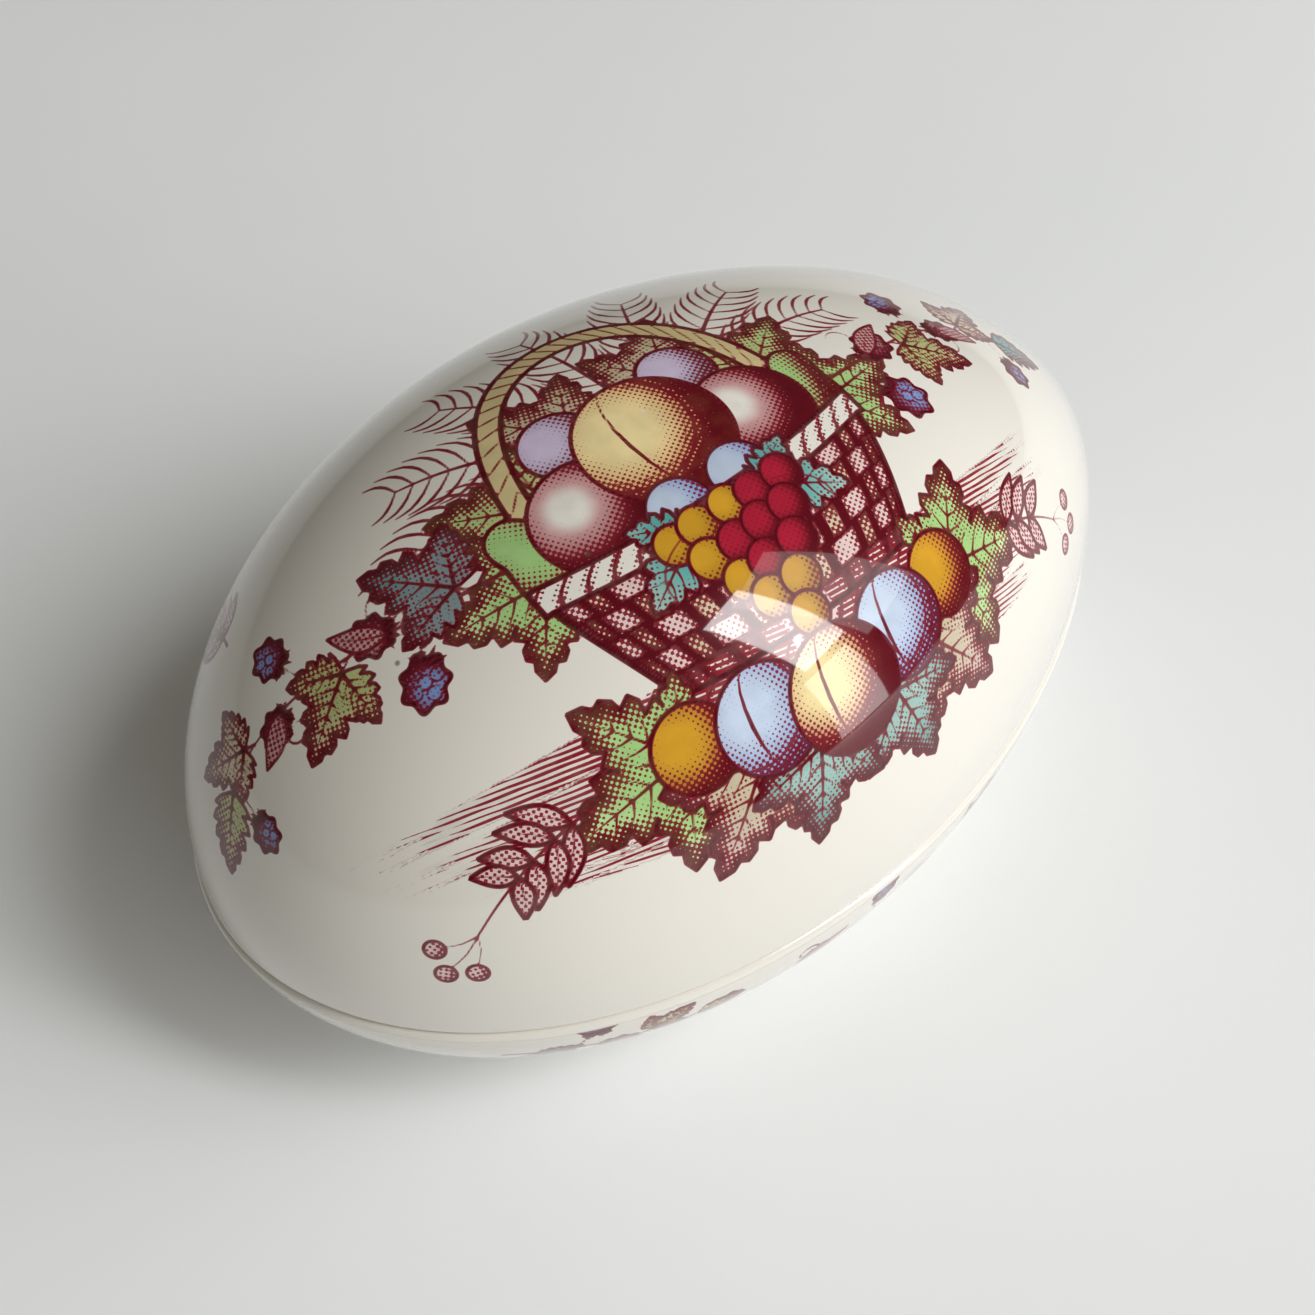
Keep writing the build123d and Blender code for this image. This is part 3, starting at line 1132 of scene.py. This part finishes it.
TABLE_DARK, TABLE_PALE = (0.86, 0.88, 0.89, 1), (0.89, 0.905, 0.915, 1)
TABLE_HALF = 1.2
FILL_COLOUR = (1.0, 0.94, 0.79, 1)
FILL_STRENGTH = 0.15
FILL_IN_REFLECTIONS = 0.05
BACKDROP = (0.62, 0.63, 0.63, 1)
LENS = 43.8
CAMERA_TARGET = (-3.1, -0.7, SEAM)
CAMERA_AZIMUTH, CAMERA_ELEVATION, CAMERA_DISTANCE = -41.2, 52.1, 0.1526


def direction(azimuth, elevation):
    """A unit vector; azimuth 0 is the front (-Y) and grows towards +X, in degrees."""
    a, e = math.radians(azimuth), math.radians(elevation)
    return Vector((math.sin(a) * math.cos(e), -math.cos(a) * math.cos(e), math.sin(e)))


def aimed(name, data, target, azimuth, elevation, distance):
    """A light or camera that looks at a target in mm, from a distance in metres."""
    toward = direction(azimuth, elevation)
    obj = bpy.data.objects.new(name, data)
    obj.location = Vector(target) * MM + toward * distance
    obj.rotation_euler = (-toward).to_track_quat("-Z", "Y").to_euler()
    bpy.context.scene.collection.objects.link(obj)
    return obj


def make_floor():
    """A plain, pale, matt table top."""
    n = Nodes(bpy.data.materials.new("pale_table"))
    material = n.finished({
        "Base Color": n.mix(n.step(n.noise(9, 4), 0.3, 0.7), TABLE_DARK, TABLE_PALE),
        "Roughness": 0.8,
        "Specular IOR Level": 0.15,
    })
    mesh = bpy.data.meshes.new("table_top")
    corners = [(x * TABLE_HALF, y * TABLE_HALF, 0) for x, y in ((-1, -1), (1, -1), (1, 1), (-1, 1))]
    mesh.from_pydata(corners, [], [(0, 1, 2, 3)])
    mesh.materials.append(material)
    floor = bpy.data.objects.new("table_top", mesh)
    bpy.context.scene.collection.objects.link(floor)


def area_light(name, azimuth, elevation, distance, width, height, brightness, colour, glossy=True):
    """A soft box that faces the object; brightness is what a mirror would show of it."""
    data = bpy.data.lights.new(name, "AREA")
    data.shape, data.size, data.size_y = "RECTANGLE", width, height
    data.energy, data.color = brightness * math.pi * width * height, colour
    light = aimed(name, data, (0, 0, SEAM), azimuth, elevation, distance)
    light.visible_glossy = glossy


def make_lights():
    """A bright window to the front right with its sill and edge, and a soft side light."""
    area_light("window", 29, 44, 1.0, 0.18, 0.60, 12.0, (1.0, 1.0, 0.99))
    area_light("window_sill", 27, 12, 1.0, 0.18, 0.44, 5.0, (1.0, 0.99, 0.97))
    area_light("window_edge", 44, 40, 1.0, 0.26, 0.70, 1.9, (1.0, 1.0, 1.0))
    area_light("soft_side", 28, 34, 1.6, 2.3, 1.4, 1.7, (0.98, 0.99, 1.0), glossy=False)


def make_world():
    """A fill that is dimmer in reflections, and a plain pale backdrop for the camera."""
    n = Nodes(bpy.data.worlds.new("studio"))
    ray = n.add("ShaderNodeLightPath", {})
    strength = n.step(ray["Is Glossy Ray"], 0.0, 1.0, FILL_STRENGTH, FILL_IN_REFLECTIONS)
    fill = n.tree.nodes["Background"]
    n.fill(fill, {"Color": FILL_COLOUR, "Strength": strength})
    backdrop = n.add("ShaderNodeBackground", {"Color": BACKDROP})[0]
    shown = {"Fac": ray["Is Camera Ray"], 1: fill.outputs[0], 2: backdrop}
    n.fill(n.tree.nodes["World Output"], {"Surface": n.add("ShaderNodeMixShader", shown)[0]})
    bpy.context.scene.world = n.owner
    bpy.context.scene.view_settings.view_transform = "Standard"


def make_camera():
    """A camera that looks down on the box from beyond its blunt end's front corner."""
    data = bpy.data.cameras.new("camera")
    data.sensor_width, data.lens = 36.0, LENS
    data.clip_start = 0.01
    camera = aimed("camera", data, CAMERA_TARGET, CAMERA_AZIMUTH, CAMERA_ELEVATION, CAMERA_DISTANCE)
    bpy.context.scene.camera = camera


make_floor()
make_lights()
make_world()
make_camera()
